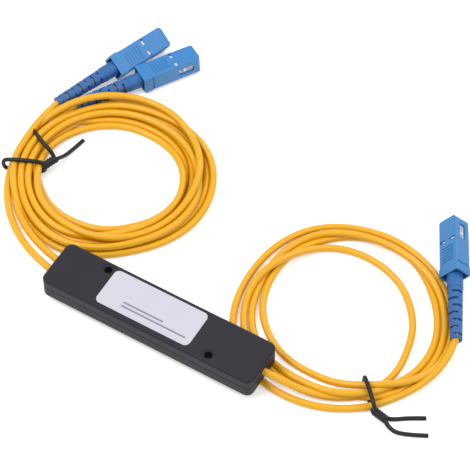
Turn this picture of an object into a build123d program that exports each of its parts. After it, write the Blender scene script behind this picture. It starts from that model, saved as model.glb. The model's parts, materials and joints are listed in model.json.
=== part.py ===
from build123d import *
import math
import os

# Fused fibre coupler with one input cord and two output cords, each ending in a push-pull plug.
# Millimetres, +Z up. The origin is the centre of the coupler module's box.
# +X runs along the box towards the input cord, the surface that everything lies on is below.

# The cord and what it holds.
cord_diameter = 2.8
buffer_diameter = 0.9
fibre_diameter = 0.25

# The coupler module: two shells that meet on the plane in which the cords leave.
module_length = 90.0
module_width = 20.0
lid_height = 4.2
tray_height = 5.3
module_corner_radius = 2.8
lid_edge_bevel = 0.6
tray_edge_bevel = 0.9
shell_wall = 1.5
lid_roof = 1.3
tray_floor = 1.5
parting_groove_height = 0.35
parting_groove_depth = 0.3
lip_width = 0.7
lip_height = 0.8
lip_clearance = 0.08
port_clearance = 0.05
output_port_spacing = 4.8
jacket_reach = 4.0
mount_hole_diameter = 3.2
mount_boss_diameter = 6.0
mount_hole_x = 25.5
mount_hole_y = 6.5
mount_ring_diameter = 5.0
mount_ring_depth = 0.2
cradle_rib_spacing = 18.0
cradle_rib_count = 3
cradle_rib_thickness = 1.2
cradle_rib_width = 10.0
cradle_clearance = 0.03
clamp_rib_inset = 2.0
clamp_rib_thickness = 1.0
clamp_rib_margin = 1.6

# The label in its shallow recess.
label_length = 40.0
label_width = 16.0
label_thickness = 0.12
label_corner_radius = 2.2
label_x = -2.8
label_y = 0.4
label_clearance = 0.05

# The fused pair in its substrate and steel tube.
coupler_tube_length = 54.0
coupler_tube_diameter = 3.0
coupler_tube_bore = 2.4
substrate_length = 48.0
substrate_diameter = 2.0
substrate_groove_width = 1.4
substrate_groove_depth = 0.4
substrate_rise = 0.2
seal_length = 3.5
seal_proud = 1.0
seal_clearance = 0.03
fibre_bore_diameter = 0.32
fibre_spacing = 1.0
fused_fibre_spacing = 0.22
fused_length = 28.0
fibre_bend_radius = 6.0
spare_fibre_length = 20.0
buffer_straight_share = 0.23

# The plug: local X runs from the sleeve's rear end to its front end.
sleeve_length = 25.0
sleeve_width = 9.0
sleeve_height = 7.4
sleeve_edge_radius = 0.7
sleeve_nose_radius = 1.5
sleeve_cavity_width = 7.3
sleeve_cavity_height = 6.3
sleeve_cavity_radius = 0.5
sleeve_mouth_width = 8.0
sleeve_mouth_height = 6.7
sleeve_mouth_depth = 3.0
sleeve_travel = 0.8
collar_length = 3.4
collar_proud = 0.35
collar_groove_length = 0.8
collar_groove_depth = 0.3
face_slot_from_front = 10.0
face_slot_length = 1.2
face_slot_inner = 1.3
face_slot_outer = 4.0
window_rear = 15.3
window_length = 6.5
window_height = 2.8
key_width = 3.0
key_height = 0.5
key_length = 12.0
key_front_gap = 1.5
key_edge_radius = 0.2
grip_ridge_start = 5.6
grip_ridge_count = 6
grip_ridge_pitch = 1.25
grip_ridge_length = 0.6
grip_ridge_width = 5.4
grip_ridge_height = 0.2

frame_rear = 3.4
frame_length = 21.0
frame_width = 7.0
frame_height = 6.0
frame_edge_radius = 0.5
frame_bore = 4.6
frame_stop_rear = 14.0
frame_stop_thickness = 1.0
frame_stop_bore = 3.8
frame_socket_bore = 4.4
latch_slot_rear = 16.2
latch_slot_length = 4.8
latch_slot_height = 1.8
latch_slot_depth = 0.9
latch_knob_rear = 17.4
latch_knob_length = 1.2
latch_knob_height = 1.2
latch_knob_proud = 0.3

ferrule_diameter = 2.5
ferrule_seat_diameter = 1.8
ferrule_seat_depth = 3.2
ferrule_tip = 24.1
ferrule_chamfer = 0.4
flange_gap = 0.1
flange_head_diameter = 4.2
flange_head_length = 1.5
flange_neck_diameter = 3.2
flange_neck_length = 3.0
flange_bore_diameter = 1.0
spring_wire = 0.35
spring_diameter = 4.2
spring_turns = 5

bush_length = 3.5
bush_clearance = 0.05
bush_collar_diameter = 5.3
bush_collar_length = 2.2
barrel_diameter = 3.4
barrel_length = 7.2
rear_bore_diameter = 1.4
crimp_clearance = 0.05
crimp_thickness = 0.45
crimp_length = 6.0

boot_front = 1.0
boot_length = 29.0
boot_collar_diameter = 6.2
boot_collar_length = 6.5
boot_taper_diameter = 5.9
boot_tail_diameter = 4.6
boot_crimp_bore = 4.8
boot_cord_clearance = 0.05
boot_wall_behind_crimp = 0.8
boot_slot_count = 7
boot_slot_pitch = 3.1
boot_slot_width = 0.9
boot_slot_start = 2.4
boot_bridge_width = 1.8

# Where each plug's sleeve starts, how it points and how it is rolled.
input_plug_x = 84.57
input_plug_y = 73.28
input_plug_heading_angle = 118.5
input_plug_roll_angle = 48.9
output_a_plug_x = -79.1
output_a_plug_y = 93.7
output_a_plug_heading_angle = 70.0
output_a_plug_roll_angle = -30.0
output_b_plug_x = -67.43
output_b_plug_y = 94.8
output_b_plug_heading_angle = 58.0
output_b_plug_roll_angle = 5.4

# The coils: one band of strands each, as outer and inner radii every 22.5 degrees.
input_coil_x = 57.3
input_coil_y = 38.0
input_coil_radius = 35.0
input_coil_height = 5.6
input_coil_outer_shares = [
    1.214, 1.194, 1.171, 1.183, 1.200, 1.243, 1.274, 1.223,
    1.183, 1.206, 1.237, 1.209, 1.166, 1.126, 1.100, 1.191,
]
input_coil_inner_shares = [
    0.697, 0.674, 0.671, 0.709, 0.766, 0.857, 0.931, 0.926,
    0.894, 0.829, 0.771, 0.723, 0.700, 0.734, 0.783, 0.740,
]
output_coil_x = -52.2
output_coil_y = 50.1
output_coil_radius = 33.0
output_coil_height = 6.2
output_coil_outer_shares = [
    1.215, 1.215, 1.215, 1.221, 1.233, 1.261, 1.285, 1.270,
    1.248, 1.239, 1.197, 1.191, 1.203, 1.142, 1.085, 1.155,
]
output_coil_inner_shares = [
    0.803, 0.803, 0.800, 0.752, 0.709, 0.721, 0.742, 0.800,
    0.848, 0.848, 0.839, 0.779, 0.718, 0.727, 0.745, 0.776,
]
coil_edge_radius = 1.2
coil_clearance = 0.3
coil_step_x = 62.0
tail_bite = 2.0
input_tail_straight = 7.5

# The twist ties.
tie_wire = 1.3
tie_corner_radius = 1.6
tie_clearance = 0.1
tie_loop_height = 7.3
tie_twist_diameter = 2.5
input_tie_angle = 314.0
input_tie_inner = 27.6
input_tie_outer = 41.8
output_tie_angle = 204.5
output_tie_inner = 26.0
output_tie_outer = 42.4

overrun = 1.0
bend_run_share = 0.45

# Sizes that follow from those above.
module_height = lid_height + tray_height
module_top = module_height / 2
module_bottom = -module_height / 2
parting_z = module_top - lid_height
surface_z = module_bottom - cord_diameter
module_end = module_length / 2
cavity_end = module_end - shell_wall
output_port_y = output_port_spacing / 2
jacket_end = module_end - jacket_reach
boot_tail = boot_front - boot_length
frame_front = frame_rear + frame_length
bush_front = frame_rear + bush_length
collar_rear = frame_rear - bush_collar_length
barrel_rear = collar_rear - barrel_length
flange_front = frame_stop_rear - flange_gap
flange_head_rear = flange_front - flange_head_length
flange_rear = flange_head_rear - flange_neck_length


def block(x0, x1, y0, y1, z0, z1):
    """A box between two corners."""
    middle = ((x0 + x1) / 2, (y0 + y1) / 2, (z0 + z1) / 2)
    return Pos(*middle) * Box(x1 - x0, y1 - y0, z1 - z0)


def rod(x0, x1, diameter):
    """A round bar along X."""
    return Pos((x0 + x1) / 2, 0, 0) * Rot(0, 90, 0) * Cylinder(diameter / 2, x1 - x0)


def rounded_bar(x0, x1, width, height, radius):
    """A bar along X with a rounded rectangular section."""
    section = Plane.YZ.offset(x0) * RectangleRounded(width, height, radius)
    return extrude(section, x1 - x0)


def arc_route(points):
    """Straight runs joined by tangent arcs, each as large as its two runs allow."""
    route = [Vector(p) for p in points]
    radii = []
    for before, here, after in zip(route, route[1:], route[2:]):
        turn = math.radians((here - before).get_angle(after - here))
        run = min((here - before).length, (after - here).length)
        radii.append(bend_run_share * run / math.tan(turn / 2))
    return FilletPolyline(*route, radius=radii), radii


def sweep_round(path, diameter):
    """A round section carried along a path."""
    start = Plane(origin=path @ 0, z_dir=path % 0)
    return sweep(start * Circle(diameter / 2), path=path)


def cord_tube(name, points, diameter):
    """A plain tube of cord, reported with its bends and its volume."""
    path, radii = arc_route(points)
    tube = sweep_round(path, diameter)
    expected = math.pi * diameter**2 / 4 * path.length
    bends = " ".join(f"{r:.1f}" for r in radii)
    print(f"{name}: length {path.length:.1f}, radii {bends}, volume ratio {tube.volume / expected:.4f}")
    return tube


def ports(diameter):
    """The three round ways through the end walls."""
    one = Pos(0, 0, parting_z) * rod(cavity_end - overrun, module_end + overrun, diameter)
    pair = Pos(0, 0, parting_z) * rod(-module_end - overrun, -cavity_end + overrun, diameter)
    return one + Pos(0, output_port_y, 0) * pair + Pos(0, -output_port_y, 0) * pair


def mount_posts(diameter, bottom, top):
    """Two upright cylinders at the mounting holes, on one diagonal of the box."""
    post = Cylinder(diameter / 2, top - bottom, align=(Align.CENTER, Align.CENTER, Align.MIN))
    left = Pos(-mount_hole_x, mount_hole_y, bottom) * post
    right = Pos(mount_hole_x, -mount_hole_y, bottom) * post
    return left + right


def inner_ribs(bottom, top):
    """Cradle ribs under or over the coupler tube, and the ribs that grip the jackets."""
    ribs = []
    for index in range(cradle_rib_count):
        x = (index - (cradle_rib_count - 1) / 2) * cradle_rib_spacing
        half = cradle_rib_thickness / 2
        ribs.append(
            block(x - half, x + half, -cradle_rib_width / 2, cradle_rib_width / 2, bottom, top)
        )
    for side in (-1, 1):
        x = side * (cavity_end - clamp_rib_inset)
        half = clamp_rib_thickness / 2
        reach = output_port_y + cord_diameter / 2 + clamp_rib_margin
        ribs.append(block(x - half, x + half, -reach, reach, bottom, top))
    return ribs


def rib_saddles():
    """The round seats in those ribs, for the coupler tube and for the jackets."""
    tube = Pos(0, 0, parting_z) * rod(
        -coupler_tube_length / 2, coupler_tube_length / 2, coupler_tube_diameter + 2 * cradle_clearance
    )
    jacket = cord_diameter + 2 * port_clearance
    right = Pos(0, 0, parting_z) * rod(jacket_end - overrun, cavity_end, jacket)
    left = Pos(0, 0, parting_z) * rod(-cavity_end, -jacket_end + overrun, jacket)
    return tube + right + Pos(0, output_port_y, 0) * left + Pos(0, -output_port_y, 0) * left


def shell_outline(inset, bottom, top):
    """The box's outline, moved in by an inset, as a solid between two heights."""
    outline = Plane.XY.offset(bottom) * RectangleRounded(
        module_length - 2 * inset,
        module_width - 2 * inset,
        max(module_corner_radius - inset, lip_clearance),
    )
    return extrude(outline, top - bottom)


def rim(offset_out, offset_in, bottom, top):
    """A closed rim that follows the box's wall, between two insets from its outside."""
    outer = shell_outline(offset_out, bottom, top)
    inner = shell_outline(offset_in, bottom - overrun, top + overrun)
    return outer - inner


def build_lid():
    """The upper shell: roof, walls, lip, bosses, ribs, label recess and the parting groove."""
    body = shell_outline(0, parting_z, module_top)
    body = chamfer(body.edges().group_by(Axis.Z)[-1], lid_edge_bevel)
    body -= shell_outline(shell_wall, parting_z - overrun, module_top - lid_roof)
    body += rim(shell_wall - lip_width, shell_wall, parting_z - lip_height, parting_z + overrun)
    roof = module_top - lid_roof
    cavity = shell_outline(shell_wall, parting_z, roof + overrun / 2)
    inside = mount_posts(mount_boss_diameter, parting_z, roof + overrun / 2)
    for rib in inner_ribs(parting_z, roof + overrun / 2):
        inside += rib
    body += inside & cavity
    body -= rib_saddles()
    body -= ports(cord_diameter + 2 * port_clearance)
    body -= mount_posts(mount_hole_diameter, parting_z - overrun, module_top + overrun)
    ring = mount_posts(mount_ring_diameter, module_top - mount_ring_depth, module_top + overrun)
    body -= ring
    groove_top = parting_z + parting_groove_height
    body -= rim(-overrun, parting_groove_depth, parting_z - overrun, groove_top) & block(
        -module_length, module_length, -module_width, module_width, parting_z, groove_top
    )
    recess = RectangleRounded(
        label_length + 2 * label_clearance,
        label_width + 2 * label_clearance,
        label_corner_radius + label_clearance,
    )
    recess_plane = Plane((label_x, label_y, module_top - label_thickness))
    body -= extrude(recess_plane * recess, label_thickness + overrun)
    return body


def build_tray():
    """The lower shell: floor, walls with a rebate for the lid's lip, bosses and ribs."""
    body = shell_outline(0, module_bottom, parting_z)
    body = chamfer(body.edges().group_by(Axis.Z)[0], tray_edge_bevel)
    floor = module_bottom + tray_floor
    body -= shell_outline(shell_wall, floor, parting_z + overrun)
    rebate = shell_wall - lip_width - lip_clearance
    body -= shell_outline(rebate, parting_z - lip_height - lip_clearance, parting_z + overrun)
    rib_top = parting_z
    room = shell_outline(shell_wall + lip_clearance, floor - overrun / 2, rib_top)
    inside = mount_posts(mount_boss_diameter, floor - overrun / 2, rib_top)
    for rib in inner_ribs(floor - overrun / 2, rib_top):
        inside += rib
    body += inside & room
    body -= rib_saddles()
    body -= ports(cord_diameter + 2 * port_clearance)
    body -= mount_posts(mount_hole_diameter, module_bottom - overrun, parting_z + overrun)
    return body


def build_label():
    """The plain label, flush in its recess."""
    plane = Plane((label_x, label_y, module_top - label_thickness))
    return extrude(plane * RectangleRounded(label_length, label_width, label_corner_radius), label_thickness)


def build_coupler():
    """The fused fibre pair, its grooved substrate, the steel tube and the two end seals."""
    axis = Pos(0, 0, parting_z)
    half_tube = coupler_tube_length / 2
    tube = rod(-half_tube, half_tube, coupler_tube_diameter)
    tube -= rod(-half_tube - overrun, half_tube + overrun, coupler_tube_bore)

    half_substrate = substrate_length / 2
    substrate = rod(-half_substrate, half_substrate, substrate_diameter)
    substrate -= block(
        -half_substrate - overrun, half_substrate + overrun,
        -substrate_diameter, substrate_diameter, substrate_rise, substrate_diameter,
    )
    substrate -= block(
        -half_substrate - overrun, half_substrate + overrun,
        -substrate_groove_width / 2, substrate_groove_width / 2,
        substrate_rise - substrate_groove_depth, substrate_diameter,
    )

    seal_out = half_tube + seal_proud
    seal_in = seal_out - seal_length
    plug_shape = rod(seal_in, seal_out, coupler_tube_bore - 2 * seal_clearance)
    bore = rod(seal_in - overrun, seal_out + overrun, fibre_bore_diameter)
    input_seal = plug_shape - Pos(0, fused_fibre_spacing / 2, 0) * bore
    output_seal = Rot(0, 0, 180) * plug_shape
    for side in (-1, 1):
        output_seal -= Rot(0, 0, 180) * Pos(0, side * fibre_spacing / 2, 0) * bore

    half_fused = fused_length / 2
    far = fibre_spacing / 2
    near = fused_fibre_spacing / 2
    bend_end = seal_in - overrun
    through = FilletPolyline(
        (-seal_out, far, 0), (-bend_end, far, 0), (-half_fused, near, 0), (seal_out, near, 0),
        radius=fibre_bend_radius,
    )
    spare = FilletPolyline(
        (-seal_out, -far, 0), (-bend_end, -far, 0), (-half_fused, -near, 0), (spare_fibre_length, -near, 0),
        radius=fibre_bend_radius,
    )
    pair = sweep_round(through, fibre_diameter) + sweep_round(spare, fibre_diameter)
    return {
        "coupler_tube": axis * tube,
        "coupler_substrate": axis * substrate,
        "tube_seal_input": axis * input_seal,
        "tube_seal_output": axis * output_seal,
        "fused_fibre_pair": axis * pair,
    }


def build_buffers():
    """Tight-buffered fibres between the tube's seals and the jackets' ends."""
    start = coupler_tube_length / 2 + seal_proud
    straight = buffer_straight_share * (jacket_end - start)
    buffers = {}
    buffers["input_buffer"] = Pos(0, 0, parting_z) * rod(start, jacket_end, buffer_diameter)
    for name, side in (("output_a_buffer", -1), ("output_b_buffer", 1)):
        path, radii = arc_route([
            (-start, side * fibre_spacing / 2, parting_z),
            (-start - straight, side * fibre_spacing / 2, parting_z),
            (-jacket_end + straight, side * output_port_y, parting_z),
            (-jacket_end, side * output_port_y, parting_z),
        ])
        buffers[name] = sweep_round(path, buffer_diameter)
    return buffers


def build_sleeve():
    """The outer grip that slides on the plug's frame to release it."""
    body = rounded_bar(0, sleeve_length, sleeve_width, sleeve_height, sleeve_edge_radius)
    body += rounded_bar(0, collar_length, sleeve_width + 2 * collar_proud, sleeve_height, sleeve_edge_radius)
    trim = sleeve_nose_radius
    corner = block(
        sleeve_length - trim, sleeve_length + overrun,
        sleeve_width / 2 - trim, sleeve_width, -sleeve_height, sleeve_height,
    ) - Pos(sleeve_length - trim, sleeve_width / 2 - trim, 0) * Cylinder(trim, 2 * sleeve_height)
    body -= corner
    body -= mirror(corner, about=Plane.XZ)
    key_front = sleeve_length - key_front_gap
    key = block(
        key_front - key_length, key_front, -key_width / 2, key_width / 2,
        -sleeve_height / 2 - key_height, -sleeve_height / 2 + sleeve_edge_radius,
    )
    key = fillet(key.edges().filter_by(Axis.X).group_by(Axis.Z)[0], key_edge_radius)
    body += key
    for side in (-1, 1):
        inner = side * (sleeve_width / 2 - collar_groove_depth)
        outer = side * sleeve_width
        body -= block(
            collar_length, collar_length + collar_groove_length, min(inner, outer), max(inner, outer),
            -sleeve_height / 2 + sleeve_edge_radius, sleeve_height / 2 - sleeve_edge_radius,
        )
    for index in range(grip_ridge_count):
        x = grip_ridge_start + index * grip_ridge_pitch
        body += block(
            x, x + grip_ridge_length, -grip_ridge_width / 2, grip_ridge_width / 2,
            sleeve_height / 2 - sleeve_edge_radius, sleeve_height / 2 + grip_ridge_height,
        )
    body -= rounded_bar(
        -overrun, sleeve_length + overrun, sleeve_cavity_width, sleeve_cavity_height, sleeve_cavity_radius
    )
    body -= rounded_bar(
        -overrun, sleeve_mouth_depth, sleeve_mouth_width, sleeve_mouth_height, sleeve_cavity_radius
    )
    slot_x = sleeve_length - face_slot_from_front
    for side in (-1, 1):
        inner = side * face_slot_inner
        outer = side * face_slot_outer
        for face in (-1, 1):
            low = face * (sleeve_cavity_height / 2)
            high = face * sleeve_height
            body -= block(
                slot_x - face_slot_length / 2, slot_x + face_slot_length / 2,
                min(inner, outer), max(inner, outer), min(low, high), max(low, high),
            )
    body -= block(
        window_rear, window_rear + window_length, -sleeve_width, sleeve_width,
        -window_height / 2, window_height / 2,
    )
    return body


def build_frame():
    """The white housing that the adapter grips, with its stop for the sprung ferrule."""
    body = rounded_bar(frame_rear, frame_front, frame_width, frame_height, frame_edge_radius)
    for side in (-1, 1):
        inner = side * (frame_width / 2 - latch_slot_depth)
        outer = side * frame_width
        body -= block(
            latch_slot_rear, latch_slot_rear + latch_slot_length, min(inner, outer), max(inner, outer),
            -latch_slot_height / 2, latch_slot_height / 2,
        )
        knob_out = side * (frame_width / 2 + latch_knob_proud)
        body += block(
            latch_knob_rear, latch_knob_rear + latch_knob_length, min(inner, knob_out), max(inner, knob_out),
            -latch_knob_height / 2, latch_knob_height / 2,
        )
    stop_front = frame_stop_rear + frame_stop_thickness
    body -= rod(frame_rear - overrun, frame_stop_rear, frame_bore)
    body -= rod(frame_stop_rear - overrun, stop_front + overrun, frame_stop_bore)
    body -= rod(stop_front, frame_front + overrun, frame_socket_bore)
    return body


def build_ferrule():
    """The ceramic ferrule, a little thinner where it is pressed into its flange."""
    seat = rod(flange_front - ferrule_seat_depth, flange_front, ferrule_seat_diameter)
    pin = rod(flange_front, ferrule_tip, ferrule_diameter)
    pin = chamfer(pin.edges().group_by(Axis.X)[-1], ferrule_chamfer)
    return seat + pin


def build_flange():
    """The metal flange that holds the ferrule and takes the spring's push."""
    body = rod(flange_head_rear, flange_front, flange_head_diameter)
    body += rod(flange_rear, flange_head_rear, flange_neck_diameter)
    body -= rod(flange_front - ferrule_seat_depth, flange_front + overrun, ferrule_seat_diameter)
    body -= rod(flange_rear - overrun, flange_front, flange_bore_diameter)
    return body


def build_spring():
    """The coil spring between the rear body and the flange's head."""
    mean_radius = (spring_diameter - spring_wire) / 2
    length = flange_head_rear - bush_front - spring_wire
    pitch = length / spring_turns
    path = Helix(pitch, length, mean_radius)
    start = Plane(origin=path @ 0, z_dir=path % 0)
    coil = sweep(start * Circle(spring_wire / 2), path=path, is_frenet=True)
    return Pos(bush_front + spring_wire / 2, 0, 0) * Rot(0, 90, 0) * coil


def build_rear_body():
    """The spring's rear stop, the collar behind the frame and the crimp barrel."""
    body = rod(frame_rear, bush_front, frame_bore - 2 * bush_clearance)
    body += rod(collar_rear, frame_rear, bush_collar_diameter)
    body += rod(barrel_rear, collar_rear, barrel_diameter)
    body -= rod(barrel_rear - overrun, bush_front + overrun, rear_bore_diameter)
    return body


def build_crimp_ring():
    """The ring crimped over the barrel."""
    inner = barrel_diameter + 2 * crimp_clearance
    outer = inner + 2 * crimp_thickness
    ring = rod(barrel_rear, barrel_rear + crimp_length, outer)
    return ring - rod(barrel_rear - overrun, barrel_rear + crimp_length + overrun, inner)


def boot_profile(extra):
    """Half of the boot's outside as a closed outline on XZ, grown by an extra margin."""
    collar_end = boot_front - boot_collar_length
    with BuildSketch(Plane.XZ) as sketch:
        with BuildLine():
            Polyline(
                (boot_front + extra, 0),
                (boot_front + extra, boot_collar_diameter / 2 + extra),
                (collar_end - extra, boot_collar_diameter / 2 + extra),
                (collar_end - extra, boot_taper_diameter / 2 + extra),
                (boot_tail - extra, boot_tail_diameter / 2 + extra),
                (boot_tail - extra, 0),
                close=True,
            )
        make_face()
    return sketch.sketch


def build_boot():
    """The tapered boot: rings of rubber joined by bridges that change sides at each slot."""
    body = revolve(boot_profile(0), Axis.X)
    shoulder = barrel_rear - boot_wall_behind_crimp
    body -= rod(shoulder, boot_front + overrun, boot_crimp_bore)
    body -= rod(boot_tail - overrun, shoulder + overrun, cord_diameter + 2 * boot_cord_clearance)
    first = boot_front - boot_collar_length - boot_slot_start
    for index in range(boot_slot_count):
        x = first - index * boot_slot_pitch
        half = boot_slot_width / 2
        reach = boot_collar_diameter
        cut = block(x - half, x + half, boot_bridge_width / 2, reach, -reach, reach)
        cut += block(x - half, x + half, -reach, -boot_bridge_width / 2, -reach, reach)
        body -= Rot(90 * (index % 2), 0, 0) * cut
    return body


def rest_height(roll_angle):
    """How high a plug's axis lies over the surface when the plug is rolled by this angle."""
    roll = math.radians(abs(roll_angle))
    width = sleeve_width / 2 + collar_proud - sleeve_edge_radius
    height = sleeve_height / 2 - sleeve_edge_radius
    on_collar = width * math.sin(roll) + height * math.cos(roll) + sleeve_edge_radius
    on_key = (sleeve_height / 2 + key_height) * math.cos(roll) + key_width / 2 * math.sin(roll)
    return max(on_collar, on_key)


def plug_place(x, y, heading_angle, roll_angle):
    """From a plug's own frame to where that plug lies."""
    height = surface_z + rest_height(roll_angle)
    return Pos(x, y, height) * Rot(0, 0, heading_angle) * Rot(-roll_angle, 0, 0)


def coil_outline(x, y, radius, shares):
    """A closed smooth outline round a coil's centre, from shares of its mean radius."""
    points = []
    for index, share in enumerate(shares):
        turn = 2 * math.pi * index / len(shares)
        reach = radius * share
        points.append((x + reach * math.cos(turn), y + reach * math.sin(turn)))
    return make_face(Spline(*points, periodic=True))


def build_coil(x, y, radius, height, outer_shares, inner_shares):
    """The band that a coil's strands fill, as one closed solid on the surface."""
    outer = Plane.XY.offset(surface_z) * coil_outline(x, y, radius, outer_shares)
    inner = Plane.XY.offset(surface_z) * coil_outline(x, y, radius, inner_shares)
    band = extrude(outer, height) - extrude(inner, height)
    return fillet(band.edges().group_by(Axis.Z)[-1], coil_edge_radius)


def tie_plane(x, y, angle, inner, outer):
    """The upright plane of a tie's loop, on a radius of its coil."""
    middle = (inner + outer) / 2
    turn = math.radians(angle)
    radial = Vector(math.cos(turn), math.sin(turn), 0)
    centre = Vector(x, y, surface_z + tie_loop_height / 2) + radial * middle
    return Plane(origin=centre, x_dir=radial, z_dir=radial.cross(Vector(0, 0, 1)))


def tie_loop(plane, inner, outer):
    """A loop of wire round a coil's band."""
    outline = plane * RectangleRounded(
        outer - inner - tie_wire, tie_loop_height - tie_wire, tie_corner_radius
    )
    return sweep_round(outline.wire(), tie_wire)


def tie_groove(plane, inner, outer):
    """The room that the loop takes out of the band."""
    width = outer - inner
    thickness = tie_wire + 2 * tie_clearance
    outside = RectangleRounded(
        width + 2 * tie_clearance, tie_loop_height + 2 * tie_clearance, tie_corner_radius + tie_clearance
    )
    inside = RectangleRounded(
        width - 2 * tie_wire - 2 * tie_clearance,
        tie_loop_height - 2 * tie_wire - 2 * tie_clearance,
        tie_corner_radius,
    )
    return extrude(plane * (outside - inside), thickness / 2, both=True)


def tie_ends(twist, routes):
    """The two ends of a tie: twisted together for a short way, then apart."""
    ends = sweep_round(Line(*twist), tie_twist_diameter)
    for points in routes:
        path, radii = arc_route(points)
        ends += sweep_round(path, tie_wire)
    return ends


# Routes of the cords and of the ties' free ends.
input_lead_route = [
    (jacket_end, 0, parting_z), (49.5, 0, parting_z), (57.5, 1.2, -2.3), (64.3, 4.1, -3.9),
]
output_a_lead_route = [
    (-jacket_end, -output_port_y, parting_z), (-50.0, -output_port_y, parting_z), (-60.5, 2.4, -0.9),
    (-70.0, 8.2, -2.8), (-78.6, 15.8, -4.5), (-84.0, 24.0, -5.7), (-86.8, 30.8, -6.1),
]
output_b_lead_route = [
    (-jacket_end, output_port_y, parting_z), (-49.0, output_port_y, parting_z), (-58.0, 5.8, -0.5),
    (-67.0, 10.4, -1.9), (-74.4, 16.6, -3.2), (-79.6, 23.2, -4.1),
]
input_tail_route = [(101.3, 34.9, -3.4), (98.5, 28.6, -5.0)]
input_tie_twist = [(86.4, 7.9, -5.2), (89.4, 7.4, -6.2)]
input_tie_end_routes = [
    [(88.8, 7.4, -6.1), (92.0, 9.4, -6.9), (96.4, 13.2, -6.9), (103.0, 16.5, -6.9)],
    [(88.8, 7.4, -6.1), (92.2, 5.4, -6.9), (97.6, 5.0, -6.9), (107.0, 10.5, -6.9)],
]
output_tie_twist = [(-76.2, 39.2, -3.2), (-75.0, 43.4, -3.4)]
output_tie_end_routes = [
    [(-75.1, 42.8, -3.3), (-78.4, 44.2, -1.2), (-83.0, 46.6, -0.6), (-88.5, 50.2, -0.6)],
    [(-75.1, 42.8, -3.3), (-73.9, 47.0, -5.6), (-73.0, 52.6, -6.9), (-71.8, 60.0, -6.9)],
]

parts = {}
parts["module_lid"] = build_lid()
parts["module_tray"] = build_tray()
parts["module_label"] = build_label()
parts.update(build_coupler())
parts.update(build_buffers())

plug_poses = {
    "input": plug_place(input_plug_x, input_plug_y, input_plug_heading_angle, input_plug_roll_angle),
    "output_a": plug_place(
        output_a_plug_x, output_a_plug_y, output_a_plug_heading_angle, output_a_plug_roll_angle
    ),
    "output_b": plug_place(
        output_b_plug_x, output_b_plug_y, output_b_plug_heading_angle, output_b_plug_roll_angle
    ),
}
plug_pieces = {
    "grip_sleeve": build_sleeve(),
    "plug_frame": build_frame(),
    "ferrule": build_ferrule(),
    "ferrule_flange": build_flange(),
    "spring": build_spring(),
    "rear_body": build_rear_body(),
    "crimp_ring": build_crimp_ring(),
    "boot": build_boot(),
    "cord_end": rod(boot_tail, barrel_rear, cord_diameter),
}
for cord, pose in plug_poses.items():
    for piece, solid in plug_pieces.items():
        parts[f"{cord}_{piece}"] = pose * solid

input_coil = build_coil(
    input_coil_x, input_coil_y, input_coil_radius, input_coil_height,
    input_coil_outer_shares, input_coil_inner_shares,
)
output_coil = build_coil(
    output_coil_x, output_coil_y, output_coil_radius, output_coil_height,
    output_coil_outer_shares, output_coil_inner_shares,
)
under_module = block(
    -module_end - coil_clearance, coil_step_x, -module_width / 2 - coil_clearance,
    module_width / 2 + coil_clearance, surface_z + cord_diameter, module_top,
)
input_coil -= under_module
output_coil -= under_module
boot_room = revolve(boot_profile(coil_clearance), Axis.X)
input_coil -= plug_poses["input"] * boot_room
output_coil -= plug_poses["output_a"] * boot_room
output_coil -= plug_poses["output_b"] * boot_room
sleeve_room = rounded_bar(
    -sleeve_travel - coil_clearance, sleeve_length + sleeve_travel + coil_clearance,
    sleeve_width + 2 * collar_proud + 2 * coil_clearance, sleeve_height + 2 * coil_clearance,
    sleeve_edge_radius + coil_clearance,
)
input_coil -= plug_poses["input"] * sleeve_room
input_tie_plane = tie_plane(
    input_coil_x, input_coil_y, input_tie_angle, input_tie_inner, input_tie_outer
)
output_tie_plane = tie_plane(
    output_coil_x, output_coil_y, output_tie_angle, output_tie_inner, output_tie_outer
)
input_coil -= tie_groove(input_tie_plane, input_tie_inner, input_tie_outer)
output_coil -= tie_groove(output_tie_plane, output_tie_inner, output_tie_outer)
parts["input_coil"] = input_coil
parts["output_coil"] = output_coil

parts["input_lead"] = cord_tube("input_lead", input_lead_route, cord_diameter)
parts["output_a_lead"] = cord_tube("output_a_lead", output_a_lead_route, cord_diameter)
parts["output_b_lead"] = cord_tube("output_b_lead", output_b_lead_route, cord_diameter)
tail_points = [
    (plug_poses["input"] * Pos(x, 0, 0)).position for x in (boot_tail, boot_tail - input_tail_straight)
]
parts["input_tail"] = cord_tube("input_tail", tail_points + input_tail_route, cord_diameter)
stub = rod(boot_tail - coil_clearance - tail_bite, boot_tail, cord_diameter)
parts["output_a_tail"] = plug_poses["output_a"] * stub
parts["output_b_tail"] = plug_poses["output_b"] * stub

parts["input_tie"] = tie_loop(input_tie_plane, input_tie_inner, input_tie_outer)
parts["input_tie"] += tie_ends(input_tie_twist, input_tie_end_routes)
parts["output_tie"] = tie_loop(output_tie_plane, output_tie_inner, output_tie_outer)
parts["output_tie"] += tie_ends(output_tie_twist, output_tie_end_routes)

os.makedirs("parts", exist_ok=True)
for name, solid in parts.items():
    export_step(solid, f"parts/{name}.step")
print(f"{len(parts)} parts written")
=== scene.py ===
"""Fused fibre coupler with three pigtails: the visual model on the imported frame."""

from __future__ import annotations

import json
import logging
import math
from dataclasses import dataclass, field
from enum import Enum

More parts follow.
